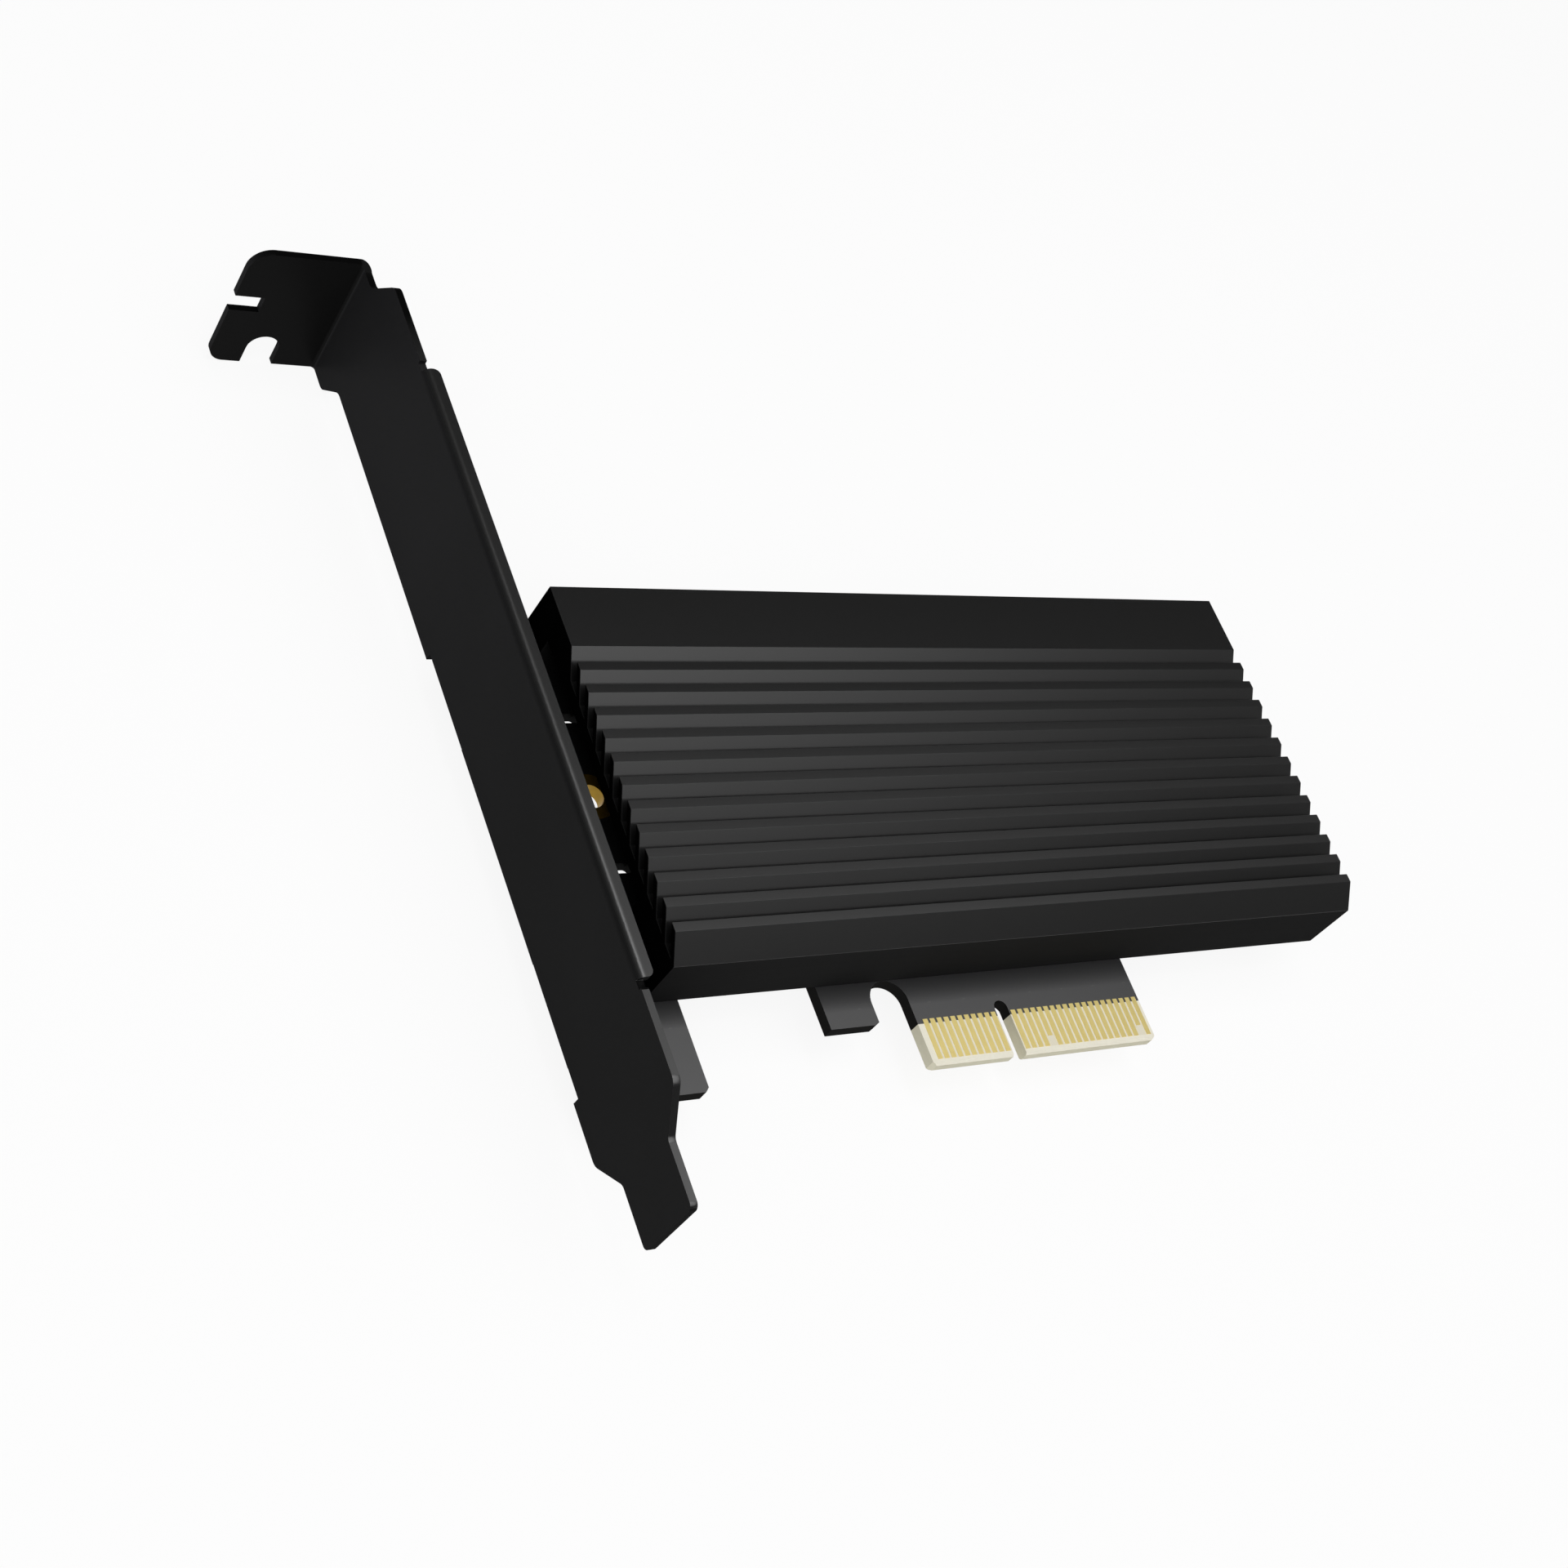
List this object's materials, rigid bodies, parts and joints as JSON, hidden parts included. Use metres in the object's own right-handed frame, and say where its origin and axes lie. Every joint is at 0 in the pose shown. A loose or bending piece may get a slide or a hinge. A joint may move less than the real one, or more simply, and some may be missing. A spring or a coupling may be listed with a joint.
{
  "type": "storage drive adapter card",
  "caption": "Expansion card that holds a narrow storage drive under a finned black heatsink, with a full height slot bracket and a short edge connector.",
  "frame": {"origin": "outer face of the bracket, level with the bottom of the contact block, on the plane of the component face of the board", "axes": "+X along the card away from the bracket, +Y from the contacts towards the folded top of the bracket, +Z out of the component face towards the heatsink"},
  "size_m": [0.1259, 0.12, 0.0218],
  "materials": {
    "bracket_black": "satin black powder coat",
    "screw_steel": "dark zinc plated steel",
    "board_black": "glass fibre laminate under black solder mask",
    "gold": "gold plating",
    "tin": "tin plating",
    "heatsink_black": "black anodised, extruded and cut to length",
    "pad_grey": "soft filled silicone",
    "socket_plastic": "moulded black plastic",
    "capacitor_brown": "fired ceramic",
    "resistor_black": "glazed film on ceramic",
    "bulk_yellow": "moulded epoxy",
    "regulator_black": "moulded epoxy",
    "choke_grey": "pressed iron powder"
  },
  "bodies": {
    "root": {"bracket": "bracket_black", "bracket_screws": "screw_steel", "circuit_board": "board_black", "component_contacts": "gold", "solder_contacts": "gold", "heatsink": "heatsink_black", "heatsink_screws": "screw_steel", "thermal_pad": "pad_grey", "socket_housing": "socket_plastic", "socket_upper_pins": "gold", "socket_lower_pins": "gold", "socket_anchors": "tin", "drive_hole_plating": "gold", "coupling_capacitors": "capacitor_brown", "filter_capacitors": "capacitor_brown", "resistors": "resistor_black", "chip_ends": "tin", "bulk_capacitors": "bulk_yellow", "bulk_capacitor_leads": "tin", "regulator_body": "regulator_black", "regulator_leads": "tin", "choke_body": "choke_grey", "choke_leads": "tin"}
  },
  "joints": []
}
